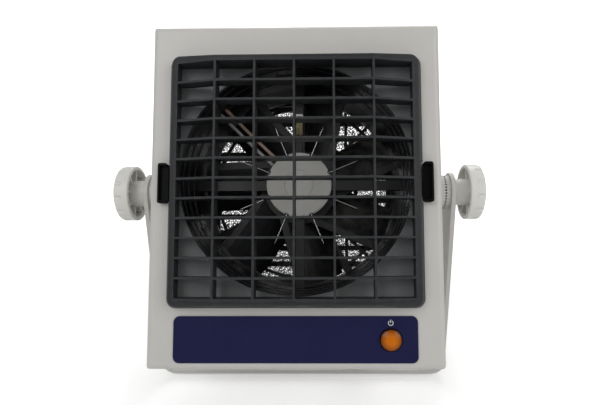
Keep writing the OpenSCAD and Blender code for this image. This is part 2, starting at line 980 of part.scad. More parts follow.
module fan_rotor() {
    cup_t = 1.6;
    blade_t = 1.5;
    bow = 80;
    pitch = 57;
    phase = 28;
    tip_r = fan_bore_r - tip_gap;
    color("#26282b")
        in_unit() {
            difference() {
                rod_y(rotor_r, cup_y, cup_end, 96);
                rod_y(rotor_r - cup_t, cup_y + 2.5, cup_end + 1, 96);
                rod_y(shaft_r, cup_y + 1, cup_y + 3);
            }
            intersection() {
                difference() {
                    rod_y(tip_r, cup_y + 1, cup_end - 1, 128);
                    rod_y(rotor_r - 0.3, cup_y, cup_end, 96);
                }
                for (i = [0 : blades - 1])
                    rotate([0, i * 360 / blades - phase, 0])
                        translate([0, (cup_y + cup_end) / 2, 0])
                            rotate([0, 90, 0])
                                linear_extrude(tip_r + 1)
                                    rotate(pitch)
                                        blade_section(bow, blade_t);
            }
        }
}

module fan_shaft() {
    color(steel)
        in_unit()
            rod_y(shaft_r, cup_y + 1, panel_y - 1);
}

module fan_stator() {
    color("#8c6a3c")
        in_unit()
            difference() {
                union() {
                    rod_y(post_r, cup_y + 5, panel_y);
                    rod_y(rotor_r - 4, cup_y + 6, cup_end - 3);
                }
                rod_y(bearing_r, cup_y + 4, panel_y + 1);
            }
}

module fan_bearings() {
    color(steel)
        in_unit()
            for (y = [cup_y + 5.5, panel_y - bearing_t - 1.5])
                difference() {
                    rod_y(bearing_r, y, y + bearing_t);
                    rod_y(shaft_r + fit, y - 1, y + bearing_t + 1);
                }
}

module hex_nut(y, r, across, h) {
    difference() {
        rod_y(across / sqrt(3), y, y + h, 6);
        rod_y(r, y - 1, y + h + 1);
    }
}

module fan_screws() {
    color(steel)
        in_unit()
            at_corners(mount_xy, mount_xy) {
                translate([0, filter_seat, 0])
                    screw(0, filter_seat - panel_y + 8.5, fan_screw_r, 3.8, 2);
                hex_nut(panel_y - 4.5 - 3.2, fan_screw_r + eps, 7, 3.2);
                translate([0, frame_y, 0])
                    mirror([0, 1, 0])
                        screw(0, frame_t + 8.5, fan_screw_r, 3.8, 2);
                hex_nut(fan_y + 4.5, fan_screw_r + eps, 7, 3.2);
            }
}

// ---------- filter ----------
module corner_cut_square(w, r) {
    intersection() {
        square(w, center = true);
        circle(r, $fn = 128);
    }
}

module filter_frame() {
    guard_r = [10, 34, 54];
    guard_t = 2;
    color(near_black)
        in_unit() {
            difference() {
                plate(body_d, frame_top) rounded(frame_w, frame_w, 5);
                plate(body_d - 1, frame_top + 1) corner_cut_square(filter_open, corner_cut_r);
                at_corners(mount_xy, mount_xy) {
                    rod_y(fan_screw_r + 0.2, body_d - 1, frame_top + 1);
                    rod_y(4.3, filter_seat, frame_top + 1);
                }
            }
            // guard of rings and diagonal bars in front of the foam
            plate(body_d, body_d + 1.2) {
                for (r = guard_r)
                    difference() {
                        circle(r + guard_t / 2, $fn = 128);
                        circle(r - guard_t / 2, $fn = 128);
                    }
                for (i = [0 : 3])
                    rotate(45 + i * 90)
                        translate([guard_r[0], -guard_t / 2])
                            square([corner_cut_r - guard_r[0] + 1, guard_t]);
            }
        }
}

module filter_foam() {
    color("#d9d9d4")
        in_unit()
            plate(body_d + 1.3, body_d + filter_d - 2.2)
                corner_cut_square(filter_open - 2 * slack, corner_cut_r - slack);
}

module filter_cover() {
    face = body_d + filter_d - 1.9;
    slot = filter_open / slats;
    color(near_black)
        in_unit() {
            difference() {
                plate(body_d + 0.3, body_d + filter_d) rounded(filter_w, filter_w, 7);
                plate(body_d - 1, face) rounded(frame_w + 0.4, frame_w + 0.4, 5.2);
                plate(face - 1, body_d + filter_d + 1) square(filter_open - 4, center = true);
            }
            plate(face, body_d + filter_d) {
                for (i = [1 : slats - 1])
                    translate([0, (i / slats - 0.5) * filter_open])
                        square([filter_open - 3, 0.32 * slot], center = true);
                for (s = [-1, 0, 1])
                    translate([s * filter_open / 4, 0])
                        square([2, filter_open - 3], center = true);
            }
        }
}

// ---------- electronics ----------
module hv_module() {
    color("#2b2d33")
        in_unit() {
            translate([module_x, 10, bottom + wall])
                cube([module_w, module_d, module_h]);
            translate([module_x + 14, lead_out_y - 2, module_top - 2])
                cylinder(r = 4.5, h = 2);
        }
}

// Calls its children at the four screw places of the control board
module at_board_holes() {
    for (x = [hole_in, board_w - hole_in], y = [hole_in, board_d - hole_in])
        translate([board_x + x, board_y + y, 0])
            children();
}

module control_board() {
    color("#2f6b3c")
        in_unit()
            difference() {
                translate([board_x, board_y, board_z])
                    cube([board_w, board_d, board_t]);
                at_board_holes()
                    translate([0, 0, board_z - 1])
                        cylinder(r = screw_r + 0.1, h = board_t + 2);
            }
}

module board_standoffs() {
    nut_h = 1.8;
    color(brass)
        in_unit()
            at_board_holes()
                translate([0, 0, bottom + wall]) {
                    cylinder(r = 3, h = board_up, $fn = 6);
                    cylinder(r = screw_r, h = board_up + board_t + nut_h);
                    translate([0, 0, board_up + board_t])
                        cylinder(r = 2.8, h = nut_h);
                }
}

module board_parts() {
    color("#3a3a3c")
        in_unit()
            translate([board_x, board_y, board_z + board_t]) {
                translate([10, 8, 0])
                    cube([18, 15, 13]);
                translate([36, 10, 0])
                    cylinder(r = 5, h = 14);
                translate([36, 24, 0])
                    cylinder(r = 4, h = 11);
                translate([12, 26, 0])
                    cube([16, 6, 10]);
            }
}

module power_inlet() {
    depth = 22;
    color(near_black)
        in_unit()
            translate([-inlet_x, 0, fittings_z])
                difference() {
                    union() {
                        plate(body_d - depth, body_d + flange_t - eps)
                            rounded(inlet_w - 0.4, inlet_h - 0.4, 3);
                        plate(body_d, body_d + flange_t) {
                            rounded(31, 23.5, 3);
                            square([2 * inlet_screw, 9], center = true);
                            for (s = [-1, 1])
                                translate([s * inlet_screw, 0])
                                    circle(4.5);
                        }
                    }
                    plate(body_d + flange_t - socket_d, body_d + flange_t + 1)
                        polygon([[-12, -8], [12, -8], [12, 4], [8.5, 8], [-8.5, 8], [-12, 4]]);
                    for (s = [-1, 1])
                        translate([s * inlet_screw, 0, 0])
                            rod_y(screw_r + 0.1, body_d - 1, body_d + flange_t + 1);
                }
}

module inlet_pins() {
    floor_y = body_d + flange_t - socket_d;
    color(steel)
        in_unit()
            translate([-inlet_x, 0, fittings_z])
                for (p = [[-7, -1.5], [7, -1.5], [0, 2.5]])
                    translate([p[0], 0, p[1]])
                        plate(floor_y, floor_y + 11) square([2, 4], center = true);
}

module inlet_screws() {
    color(steel)
        in_unit()
            for (s = [-1, 1])
                translate([-inlet_x + s * inlet_screw, 0, fittings_z])
                    screw(body_d + flange_t, 7, screw_r, 2.8, 1.6);
}

module switch_bezel() {
    color(near_black)
        in_unit()
            translate([-switch_x, 0, fittings_z])
                difference() {
                    union() {
                        plate(body_d - 18, body_d + 1) square([switch_w - 0.4, switch_h - 0.4], center = true);
                        plate(body_d, body_d + 2) rounded(21.2, 15.2, 1.2);
                    }
                    plate(body_d - 8, body_d + 3) square([16.4, 10.4], center = true);
                }
}

// The rocker turns about a level line just behind the panel
module switch_rocker() {
    hollow_r = 12;
    color("#1f2022")
        in_unit()
            translate([-switch_x, rocker_y, fittings_z])
                rotate([0, 0, -rock / 2])
                    intersection() {
                        translate([0, 0, -5])
                            linear_extrude(10)
                                difference() {
                                    circle(7.9);
                                    translate([0, hollow_r + 4.4])
                                        circle(hollow_r);
                                    translate([-10, -20])
                                        square([20, 16]);
                                }
                        translate([-7.6, -10, -5])
                            cube([15.2, 20, 10]);
                    }
}

module speed_control() {
    color(steel)
        in_unit()
            translate([speed_x, 0, fittings_z])
                difference() {
                    union() {
                        rod_y(8, panel_y - 9, panel_y);
                        rod_y(bush_r - 0.1, panel_y - 1, body_d + 2);
                        hex_nut(body_d, bush_r - 0.2, 9, 1.8);
                    }
                    rod_y(shaft_hole_r, panel_y - 7, body_d + 3);
                }
}

module speed_knob() {
    ridges = 18;
    seat = body_d + 2.3;
    color(near_black)
        in_unit()
            translate([speed_x, 0, fittings_z]) {
                difference() {
                    translate([0, seat, 0])
                        about_y()
                            polygon([[0, 0], [speed_r, 0], [speed_r - 0.4, speed_h - 0.8],
                                [speed_r - 1.2, speed_h], [0, speed_h]]);
                    for (i = [0 : ridges - 1])
                        rotate([0, i * 360 / ridges, 0])
                            translate([speed_r + 0.25, 0, 0])
                                rod_y(0.7, seat + 2, seat + speed_h + 1, 24);
                    translate([0, seat + speed_h, speed_r / 2])
                        cube([0.9, 1, speed_r], center = true);
                }
                rod_y(shaft_hole_r - fit, panel_y - 6, seat + eps);
            }
}

stand_bracket();
arm_ratchet_left();
arm_ratchet_right();
rubber_feet();
housing_shell();
corner_brackets();
rear_panel();
rear_screws();
baffle_panel();
duct_ring();
label_plate();
lamp_bezel();
lamp_lens();
lamp_body();
body_ratchet_left();
body_ratchet_right();
threaded_inserts();
emitter_frame();
emitter_hub();
emitter_needles();
hv_leads();
fan_frame();
fan_stator();
fan_bearings();
fan_screws();
filter_frame();
filter_foam();
hv_module();
control_board();
board_parts();
board_standoffs();
power_inlet();
inlet_pins();
inlet_screws();
switch_bezel();
speed_control();
grille();
latch_left();
latch_right();
fan_rotor();
fan_shaft();
brush_arm();
brush_clip();
brush_bristles();
clamp_knob_left();
knob_stud_left();
clamp_knob_right();
knob_stud_right();
filter_cover();
switch_rocker();
speed_knob();
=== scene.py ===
# %% [markdown]
# # A benchtop ionizing blower
# The object is a steel box with a fan and an emitter behind a dark grille. It tilts in a
# bent steel stand and is held by two clamp knobs. Its rigid pieces come from a CAD model,
# so this lesson is about the looks: finishes made of shader nodes, and the small soft or
# printed pieces that a CAD model leaves plain.

# %% Load the rigid model
import json
import math

import bmesh
import bpy
from mathutils import Euler, Matrix, Vector


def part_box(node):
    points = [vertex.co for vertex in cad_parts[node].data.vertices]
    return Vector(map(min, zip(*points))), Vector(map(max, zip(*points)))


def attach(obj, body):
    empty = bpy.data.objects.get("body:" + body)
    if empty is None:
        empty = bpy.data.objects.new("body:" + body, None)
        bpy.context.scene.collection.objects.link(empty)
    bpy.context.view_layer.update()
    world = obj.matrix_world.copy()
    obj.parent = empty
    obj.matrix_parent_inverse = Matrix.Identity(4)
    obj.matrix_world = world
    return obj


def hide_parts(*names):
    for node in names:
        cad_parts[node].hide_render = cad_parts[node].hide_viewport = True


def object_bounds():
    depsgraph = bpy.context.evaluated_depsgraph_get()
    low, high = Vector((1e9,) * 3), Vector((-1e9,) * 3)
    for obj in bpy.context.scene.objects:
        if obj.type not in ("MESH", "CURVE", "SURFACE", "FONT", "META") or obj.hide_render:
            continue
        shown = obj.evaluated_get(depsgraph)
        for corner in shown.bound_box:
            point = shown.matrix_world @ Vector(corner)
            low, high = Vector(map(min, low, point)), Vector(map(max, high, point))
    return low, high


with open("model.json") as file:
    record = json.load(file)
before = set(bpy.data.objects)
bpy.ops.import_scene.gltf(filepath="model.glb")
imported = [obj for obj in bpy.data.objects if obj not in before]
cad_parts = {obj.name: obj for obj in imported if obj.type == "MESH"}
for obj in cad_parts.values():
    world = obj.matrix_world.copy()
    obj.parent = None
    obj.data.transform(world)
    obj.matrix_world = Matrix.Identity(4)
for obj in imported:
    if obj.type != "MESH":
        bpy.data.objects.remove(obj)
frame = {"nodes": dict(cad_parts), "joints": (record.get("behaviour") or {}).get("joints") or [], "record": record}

MM = 0.001
nodes = frame["nodes"]
cad_low, cad_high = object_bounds()
print("pieces in the frame:", len(nodes))
print("CAD box, mm:", [round(1000 * v, 1) for v in cad_high - cad_low])

# %% [markdown]
# ## The tilted unit's own frame
# The box leans back in its stand, so positions inside it are easier to give along its own
# axes: X to the right, Y from the grille into the box, Z up its front. The fan's joint
# already holds that direction and a point on the fan's axis, so nothing is measured here.
# The front face of the box is found from the housing's own vertices.

# %% Axes of the unit
joints = {joint["name"]: joint for joint in frame["joints"]}
depthwise = -Vector(joints["fan_spin"]["axis"]).normalized()
if depthwise.y < 0:
    depthwise.negate()
sideways = Vector((1, 0, 0))
upwards = sideways.cross(depthwise)
turn = Matrix((sideways, depthwise, upwards)).transposed()


def unit_box(name):
    """Lowest and highest corner of a CAD node along the unit's axes, from the world origin."""
    points = [turn.transposed() @ vertex.co for vertex in nodes[name].data.vertices]
    low = Vector([min(point[axis] for point in points) for axis in range(3)])
    high = Vector([max(point[axis] for point in points) for axis in range(3)])
    return low, high


fan_centre = turn.transposed() @ Vector(joints["fan_spin"]["pos_m"])
front = unit_box("housing_shell")[0].y
unit = turn.to_4x4() @ Matrix.Translation((0, front, fan_centre.z))
print("lean of the unit:", round(math.degrees(math.acos(depthwise.y)), 1), "degrees")


def unit_range(name):
    """The same box measured from the fan's axis on the front face."""
    shift = Vector((0, front, fan_centre.z))
    low, high = unit_box(name)
    return low - shift, high - shift


# %% [markdown]
# ## Camera
# The camera stands close in front of the unit and looks down at it, nearly square to the
# leaning grille. A short lens at a short distance gives the strong perspective that lets
# the viewer see down the duct. The small shifts only frame the picture.

# %% Camera
camera_data = bpy.data.cameras.new("camera")
camera_data.sensor_width = 36
camera_data.lens = 27.93
camera_data.shift_x = -0.0348
camera_data.shift_y = 0.0108
camera_data.clip_start = 0.01
camera = bpy.data.objects.new("camera", camera_data)
camera.location = Vector((16.65, -248.42, 218.70)) * MM
camera.rotation_euler = Euler([math.radians(a) for a in (64.563, 0.663, 0.760)])
bpy.context.scene.collection.objects.link(camera)
bpy.context.scene.camera = camera
print("camera looks down by", round(90 - 64.563, 1), "degrees")

# %% [markdown]
# ## Light and floor
# Soft studio light comes from the whole sky, from one large lamp above the camera's left
# and a weaker one at the right. Together they light a white sheet to about white, so that
# every colour shows as it is written. Rays from the camera and rays through clear parts
# see a plain white sky, which costs the object no extra light. Mirror rays see the plain
# level.

# %% Light
scene = bpy.context.scene
scene.view_settings.view_transform = "Standard"

SKY_LEVEL = 0.48
world = bpy.data.worlds.new("studio")
world.use_nodes = True
scene.world = world
sky = world.node_tree
background = sky.nodes["Background"]
background.inputs["Color"].default_value = (1, 1, 1, 1)


def light_path_level(tree, plain, seen):
    """A value that is seen for camera and see-through rays, and plain for the others."""
    path = tree.nodes.new("ShaderNodeLightPath")
    either = tree.nodes.new("ShaderNodeMath")
    either.operation = "MAXIMUM"
    tree.links.new(path.outputs["Is Camera Ray"], either.inputs[0])
    tree.links.new(path.outputs["Is Transmission Ray"], either.inputs[1])
    level = tree.nodes.new("ShaderNodeMapRange")
    level.inputs["To Min"].default_value = plain
    level.inputs["To Max"].default_value = seen
    tree.links.new(either.outputs[0], level.inputs["Value"])
    return level.outputs["Result"]


sky.links.new(light_path_level(sky, SKY_LEVEL, 1.0), background.inputs["Strength"])


def area_lamp(name, place, target, size, watts):
    """A square soft lamp that shines from place at target."""
    data = bpy.data.lights.new(name, "AREA")
    data.shape = "SQUARE"
    data.size = size
    data.energy = watts
    lamp = bpy.data.objects.new(name, data)
    lamp.location = place
    lamp.rotation_euler = (Vector(target) - Vector(place)).to_track_quat("-Z", "Y").to_euler()
    scene.collection.objects.link(lamp)
    return lamp


middle = (cad_low + cad_high) / 2
area_lamp("key_lamp", (-0.55, -0.75, 1.05), middle, 0.7, 3.8)
area_lamp("fill_lamp", (0.8, -0.5, 0.7), middle, 0.6, 2.4)
area_lamp("back_lamp", (0.1, 0.9, 0.8), middle, 0.7, 5)

# %% Floor
mesh = bmesh.new()
bmesh.ops.create_grid(mesh, x_segments=1, y_segments=1, size=6)
bmesh.ops.translate(mesh, vec=(0, 0, cad_low.z), verts=mesh.verts)
floor_data = bpy.data.meshes.new("floor")
mesh.to_mesh(floor_data)
mesh.free()
floor = bpy.data.objects.new("floor", floor_data)
scene.collection.objects.link(floor)

paper = bpy.data.materials.new("floor_paper")
paper.use_nodes = True
tree = paper.node_tree
paper_shader = tree.nodes["Principled BSDF"]
paper_shader.inputs["Base Color"].default_value = (0.86, 0.86, 0.86, 1)
paper_shader.inputs["Roughness"].default_value = 0.9
paper_shader.inputs["Specular IOR Level"].default_value = 0.1
paper_shader.inputs["Emission Color"].default_value = (1, 1, 1, 1)
place = tree.nodes.new("ShaderNodeTexCoord")
reach = tree.nodes.new("ShaderNodeVectorMath")
reach.operation = "LENGTH"
tree.links.new(place.outputs["Object"], reach.inputs[0])
far = tree.nodes.new("ShaderNodeMapRange")
far.inputs["From Min"].default_value = 0.12
far.inputs["From Max"].default_value = 0.45
far.inputs["To Min"].default_value = 0.34
far.inputs["To Max"].default_value = 0.9
tree.links.new(reach.outputs["Value"], far.inputs["Value"])
glow = tree.nodes.new("ShaderNodeMath")
glow.operation = "MULTIPLY"
tree.links.new(light_path_level(tree, 0.0, 1.0), glow.inputs[0])
tree.links.new(far.outputs["Result"], glow.inputs[1])
tree.links.new(glow.outputs["Value"], paper_shader.inputs["Emission Strength"])
floor_data.materials.append(paper)
print("floor lies at", round(1000 * cad_low.z, 2), "mm")

# %% [markdown]
# ## Shared effects
# Four effects turn up in many finishes, so each is a node group with named sockets: a fine
# grain, softly rounded edges, wear along edges and settled dust. A group is built once and
# placed in each material with its own values. Groups put out masks, heights and normals
# only; the Principled shader stays in the material, where an exporter can find it.

# %% Helpers for shader nodes


def add_node(tree, kind, settings=None, **sockets):
    """Adds a node; settings are its own properties, sockets its input values or links."""
    made = tree.nodes.new(kind)
    for key, value in (settings or {}).items():
        setattr(made, key, value)
    for key, value in sockets.items():
        target = made.inputs[key.replace("_", " ")]
        if isinstance(value, bpy.types.NodeSocket):
            tree.links.new(value, target)
        else:
            target.default_value = value
    return made


def math_node(tree, operation, first, second=0.0, clamp=False):
    """One sum on two values or links; the result can be held between 0 and 1."""
    made = tree.nodes.new("ShaderNodeMath")
    made.operation = operation
    made.use_clamp = clamp
    for socket, value in zip(made.inputs, (first, second)):
        if isinstance(value, bpy.types.NodeSocket):
            tree.links.new(value, socket)
        else:
            socket.default_value = value
    return made.outputs[0]


def new_group(name, inputs, outputs):
    """An empty node group with float inputs {name: value} and outputs {name: socket type}."""
    tree = bpy.data.node_groups.new(name, "ShaderNodeTree")
    for key, value in inputs.items():
        made = tree.interface.new_socket(name=key, in_out="INPUT", socket_type="NodeSocketFloat")
        made.default_value = value
    for key, kind in outputs.items():
        tree.interface.new_socket(name=key, in_out="OUTPUT", socket_type=kind)
    return tree, tree.nodes.new("NodeGroupInput").outputs, tree.nodes.new("NodeGroupOutput").inputs


FLOAT = "NodeSocketFloat"
VECTOR = "NodeSocketVector"

# %% [markdown]
# ### Grain
# Powder coat and moulded plastic both have a fine pebbled skin. Two noises of different
# size give it: the small one is the pebble, the large one makes it slightly uneven, as a
# sprayed or moulded surface is. Size is given in millimetres, which is easier to judge
# than a noise scale.

# %% Grain group
grain_tree, grain_in, grain_out = new_group(
    "fine_grain", {"Size mm": 0.5, "Patch mm": 25.0}, {"Height": FLOAT, "Patches": FLOAT})
coordinates = add_node(grain_tree, "ShaderNodeTexCoord").outputs["Object"]
pebble_scale = math_node(grain_tree, "DIVIDE", 1000.0, grain_in["Size mm"])
patch_scale = math_node(grain_tree, "DIVIDE", 1000.0, grain_in["Patch mm"])
pebbles = add_node(grain_tree, "ShaderNodeTexNoise", Vector=coordinates, Scale=pebble_scale,
                   Detail=2.0, Roughness=0.6)
patches = add_node(grain_tree, "ShaderNodeTexNoise", Vector=coordinates, Scale=patch_scale,
                   Detail=3.0, Roughness=0.5)
grain_tree.links.new(pebbles.outputs["Fac"], grain_out["Height"])
spread = add_node(grain_tree, "ShaderNodeMapRange", Value=patches.outputs["Fac"], From_Min=0.3,
                  From_Max=0.7)
grain_tree.links.new(spread.outputs["Result"], grain_out["Patches"])
print("group:", grain_tree.name)

# %% [markdown]
# ### Rounded edges
# No real edge is perfectly sharp. The Bevel node bends the shading normal near an edge as
# if it had a small radius, so edges catch a line of light and the CAD mesh isn't touched.

# %% Rounded edge group
round_tree, round_in, round_out = new_group("rounded_edges", {"Radius mm": 0.5}, {"Normal": VECTOR})
metres = math_node(round_tree, "MULTIPLY", round_in["Radius mm"], MM)
bevel = add_node(round_tree, "ShaderNodeBevel", {"samples": 6}, Radius=metres)
round_tree.links.new(bevel.outputs["Normal"], round_out["Normal"])
print("group:", round_tree.name)

# %% [markdown]
# ### Edge wear
# Handling polishes and lightens outer edges. Where the bent normal of a Bevel node differs
# from the true one there is an edge. Broken up with noise, that difference is a mask of
# rubbed edges.

# %% Edge wear group
wear_tree, wear_in, wear_out = new_group(
    "edge_wear", {"Width mm": 0.8, "Amount": 0.5}, {"Mask": FLOAT})
wear_metres = math_node(wear_tree, "MULTIPLY", wear_in["Width mm"], MM)
bent = add_node(wear_tree, "ShaderNodeBevel", {"samples": 6}, Radius=wear_metres)
true_normal = add_node(wear_tree, "ShaderNodeNewGeometry").outputs["Normal"]
alike = add_node(wear_tree, "ShaderNodeVectorMath", {"operation": "DOT_PRODUCT"})
wear_tree.links.new(bent.outputs["Normal"], alike.inputs[0])
wear_tree.links.new(true_normal, alike.inputs[1])
edge = math_node(wear_tree, "SUBTRACT", 1.0, alike.outputs["Value"])
edge = math_node(wear_tree, "MULTIPLY", edge, 5.0, clamp=True)
wear_coordinates = add_node(wear_tree, "ShaderNodeTexCoord").outputs["Object"]
broken = add_node(wear_tree, "ShaderNodeTexNoise", Vector=wear_coordinates, Scale=260.0, Detail=4.0)
broken = add_node(wear_tree, "ShaderNodeMapRange", Value=broken.outputs["Fac"], From_Min=0.42,
                  From_Max=0.62)
edge = math_node(wear_tree, "MULTIPLY", edge, broken.outputs["Result"])
edge = math_node(wear_tree, "MULTIPLY", edge, wear_in["Amount"], clamp=True)
wear_tree.links.new(edge, wear_out["Mask"])
print("group:", wear_tree.name)

# %% [markdown]
# ### Dust
# Dust settles on faces that look up, in uneven patches. The unit's own up direction is
# read from the surface normal in object space, so the dust stays put when the unit tilts.

# %% Dust group
dust_tree, dust_in, dust_out = new_group("settled_dust", {"Amount": 0.3}, {"Mask": FLOAT})
dust_coordinates = add_node(dust_tree, "ShaderNodeTexCoord")
up_part = add_node(dust_tree, "ShaderNodeSeparateXYZ", Vector=dust_coordinates.outputs["Normal"])
facing_up = add_node(dust_tree, "ShaderNodeMapRange", Value=up_part.outputs["Z"], From_Min=0.35,
                     From_Max=0.95)
cloud = add_node(dust_tree, "ShaderNodeTexNoise", Vector=dust_coordinates.outputs["Object"],
                 Scale=90.0, Detail=6.0, Roughness=0.65)
cloud = add_node(dust_tree, "ShaderNodeMapRange", Value=cloud.outputs["Fac"], From_Min=0.4,
                 From_Max=0.75)
specks = math_node(dust_tree, "MULTIPLY", facing_up.outputs["Result"], cloud.outputs["Result"])
specks = math_node(dust_tree, "MULTIPLY", specks, dust_in["Amount"], clamp=True)
dust_tree.links.new(specks, dust_out["Mask"])
print("group:", dust_tree.name)

# %% [markdown]
# ## Finishes
# Every rigid finish is put together in the same way: a base colour that varies a little in
# patches, wear on its edges, dust on its upper faces, grain as a bump over rounded edges.
# One function does this, and each finish is then one call with its own values.

# %% A general finish


def use_group(tree, group, **values):
    """Places a node group in a material; values are its inputs."""
    made = tree.nodes.new("ShaderNodeGroup")
    made.node_tree = group
    for key, value in values.items():
        made.inputs[key.replace("_", " ")].default_value = value
    return made.outputs


def mix_colour(tree, mask, first, second):
    """Blends two colours or links by a mask."""
    mix = tree.nodes.new("ShaderNodeMix")
    mix.data_type = "RGBA"
    tree.links.new(mask, mix.inputs["Factor"])
    for socket, value in ((mix.inputs[6], first), (mix.inputs[7], second)):
        if isinstance(value, bpy.types.NodeSocket):
            tree.links.new(value, socket)
        else:
            socket.default_value = (*value, 1)
    return mix.outputs[2]


def scaled(colour, factor):
    """A colour made lighter or darker."""
    return tuple(min(1.0, channel * factor) for channel in colour)


DUST = (0.42, 0.40, 0.36)


def finish(name, colour, roughness, metallic=0.0, grain=0.5, bump=0.1, vary=0.08, edge=0.4,
           wear=0.15, worn=None, dust=0.12, specular=0.5, coat=0.0):
    """A material for a rigid piece: grain size and edge radius are in millimetres."""
    material = bpy.data.materials.new(name)
    material.use_nodes = True
    tree = material.node_tree
    shader = tree.nodes["Principled BSDF"]
    shader.inputs["Metallic"].default_value = metallic
    shader.inputs["Specular IOR Level"].default_value = specular
    shader.inputs["Coat Weight"].default_value = coat
    shader.inputs["Coat Roughness"].default_value = 0.15
    skin = use_group(tree, grain_tree, Size_mm=grain, Patch_mm=18.0)
    rubbed = use_group(tree, wear_tree, Width_mm=1.6 * edge + 0.2, Amount=wear)
    settled = use_group(tree, dust_tree, Amount=dust)
    body = mix_colour(tree, skin["Patches"], scaled(colour, 1 - vary), scaled(colour, 1 + vary))
    body = mix_colour(tree, rubbed["Mask"], body, worn or scaled(colour, 1.6))
    body = mix_colour(tree, settled["Mask"], body, DUST)
    tree.links.new(body, shader.inputs["Base Color"])
    rough = math_node(tree, "MULTIPLY_ADD", skin["Patches"], 0.12)
    rough.node.inputs[2].default_value = roughness - 0.06
    rough = math_node(tree, "ADD", rough, math_node(tree, "MULTIPLY", settled["Mask"], 0.4), clamp=True)
    tree.links.new(rough, shader.inputs["Roughness"])
    normal = use_group(tree, round_tree, Radius_mm=edge)["Normal"]
    relief = add_node(tree, "ShaderNodeBump", Strength=bump, Distance=0.0002,
                      Height=skin["Height"], Normal=normal)
    tree.links.new(relief.outputs["Normal"], shader.inputs["Normal"])
    return material


def grey(level):
    """A linear grey from a display level between 0 and 255."""
    part = level / 255
    return part / 12.92 if part <= 0.04045 else ((part + 0.055) / 1.055) ** 2.4


def display(red, green, blue):
    """A linear colour from display levels."""
    return (grey(red), grey(green), grey(blue))


# %% [markdown]
# ### Painted steel
# The box, its rear panel and the stand are powder coated in a satin light warm grey. The
# coat has a slight orange-peel skin and a thin gloss, and its edges are hardly worn.

# %% Painted steel
painted_steel = finish("painted_steel", display(200, 198, 193), 0.42, grain=0.9, bump=0.10,
                       vary=0.02, edge=0.7, wear=0.25, worn=display(226, 224, 219), dust=0.06)
print("material:", painted_steel.name)

# %% [markdown]
# ### Moulded plastics
# The grille is a dark slate plastic with a fine spark-eroded grain that scatters light.
# The baffle behind it is a charcoal sheet with a coarser grain. The duct, the frames and
# the covers are black and smooth, and the latch buttons are polished.

# %% Plastics
slate_plastic = finish("slate_plastic", display(46, 48, 50), 0.45, grain=0.45, bump=0.35,
                       vary=0.06, edge=0.35, wear=0.5, worn=display(94, 95, 96), dust=0.02,
                       specular=0.22)
baffle_plastic = finish("baffle_plastic", display(112, 116, 117), 0.55, grain=0.7, bump=0.6,
                        vary=0.10, edge=0.3, wear=0.2, dust=0.05)
black_plastic = finish("black_plastic", display(27, 28, 30), 0.3, grain=0.35, bump=0.12,
                       vary=0.12, edge=0.3, wear=0.25, worn=display(70, 72, 75), dust=0.10)
gloss_black = finish("gloss_black", display(9, 9, 11), 0.34, grain=0.3, bump=0.02, vary=0.1,
                     edge=0.5, wear=0.25, worn=display(38, 39, 42), dust=0.0, specular=0.06)
fan_plastic = finish("fan_plastic", display(30, 31, 33), 0.38, grain=0.35, bump=0.12, vary=0.15,
                     edge=0.35, wear=0.2, worn=display(80, 82, 84), dust=0.35)
fan_metal = finish("fan_metal", display(26, 27, 29), 0.45, grain=0.8, bump=0.35, vary=0.15,
                   edge=0.4, wear=0.2, worn=display(110, 112, 114), dust=0.2)
knob_plastic = finish("knob_plastic", display(222, 221, 216), 0.38, grain=0.5, bump=0.10,
                      vary=0.025, edge=0.6, wear=0.2, worn=display(238, 237, 232), dust=0.04)
ring_plastic = finish("ring_plastic", display(205, 204, 200), 0.42, grain=0.5, bump=0.10,
                      vary=0.03, edge=0.25, wear=0.15, worn=display(228, 226, 222), dust=0.08)
hub_plastic = finish("hub_plastic", display(222, 221, 216), 0.5, grain=0.4, bump=0.2, vary=0.04,
                     edge=0.3, wear=0.2, worn=display(212, 211, 206), dust=0.05)
rubber = finish("rubber", display(30, 30, 30), 0.75, grain=0.6, bump=0.3, vary=0.15, edge=0.6,
                wear=0.3, worn=display(72, 71, 69), dust=0.35, specular=0.3)
potting = finish("potting", display(34, 35, 40), 0.35, grain=2.5, bump=0.2, vary=0.1, edge=0.8)
board_parts = finish("board_parts", display(44, 44, 47), 0.4, grain=0.6, bump=0.1, edge=0.4)
print("plastics:", len([m for m in bpy.data.materials if "plastic" in m.name]))

# %% [markdown]
# ### Metals
# Zinc plate is bright and faintly cloudy, brass is turned, the needles are ground steel
# and the inlet's pins are nickel plated. Wear on metal is a lighter edge.

# %% Metals
zinc_steel = finish("zinc_steel", display(196, 198, 201), 0.28, metallic=1.0, grain=1.5,
                    bump=0.05, vary=0.06, edge=0.25, wear=0.3, worn=display(225, 226, 228))
brass = finish("brass", display(204, 178, 118), 0.25, metallic=1.0, grain=0.6, bump=0.08,
               vary=0.05, edge=0.2, wear=0.3, worn=display(226, 204, 150))
needle_steel = finish("needle_steel", display(205, 205, 206), 0.18, metallic=1.0, grain=0.3,
                      bump=0.04, vary=0.03, edge=0.05, wear=0.0)
pin_metal = finish("pin_metal", display(203, 200, 190), 0.22, metallic=1.0, grain=0.5, bump=0.05,
                   vary=0.04, edge=0.2, wear=0.2, worn=display(228, 225, 218))
print("metals:", len([m for m in bpy.data.materials if "steel" in m.name or "metal" in m.name]))

# %% [markdown]
# ### Motor windings
# Enamelled copper wire: the general finish in copper, half metallic and uneven. The
# circuit board is made here too, green under a clear coat.

# %% Windings
motor_winding = finish("motor_winding", display(150, 96, 52), 0.35, metallic=0.6, grain=0.8,
                       bump=0.3, vary=0.2, edge=0.3)
circuit_board = finish("circuit_board", display(24, 92, 44), 0.3, grain=2.0, bump=0.05,
                       vary=0.15, edge=0.15, coat=0.5)
print("materials so far:", len(bpy.data.materials))

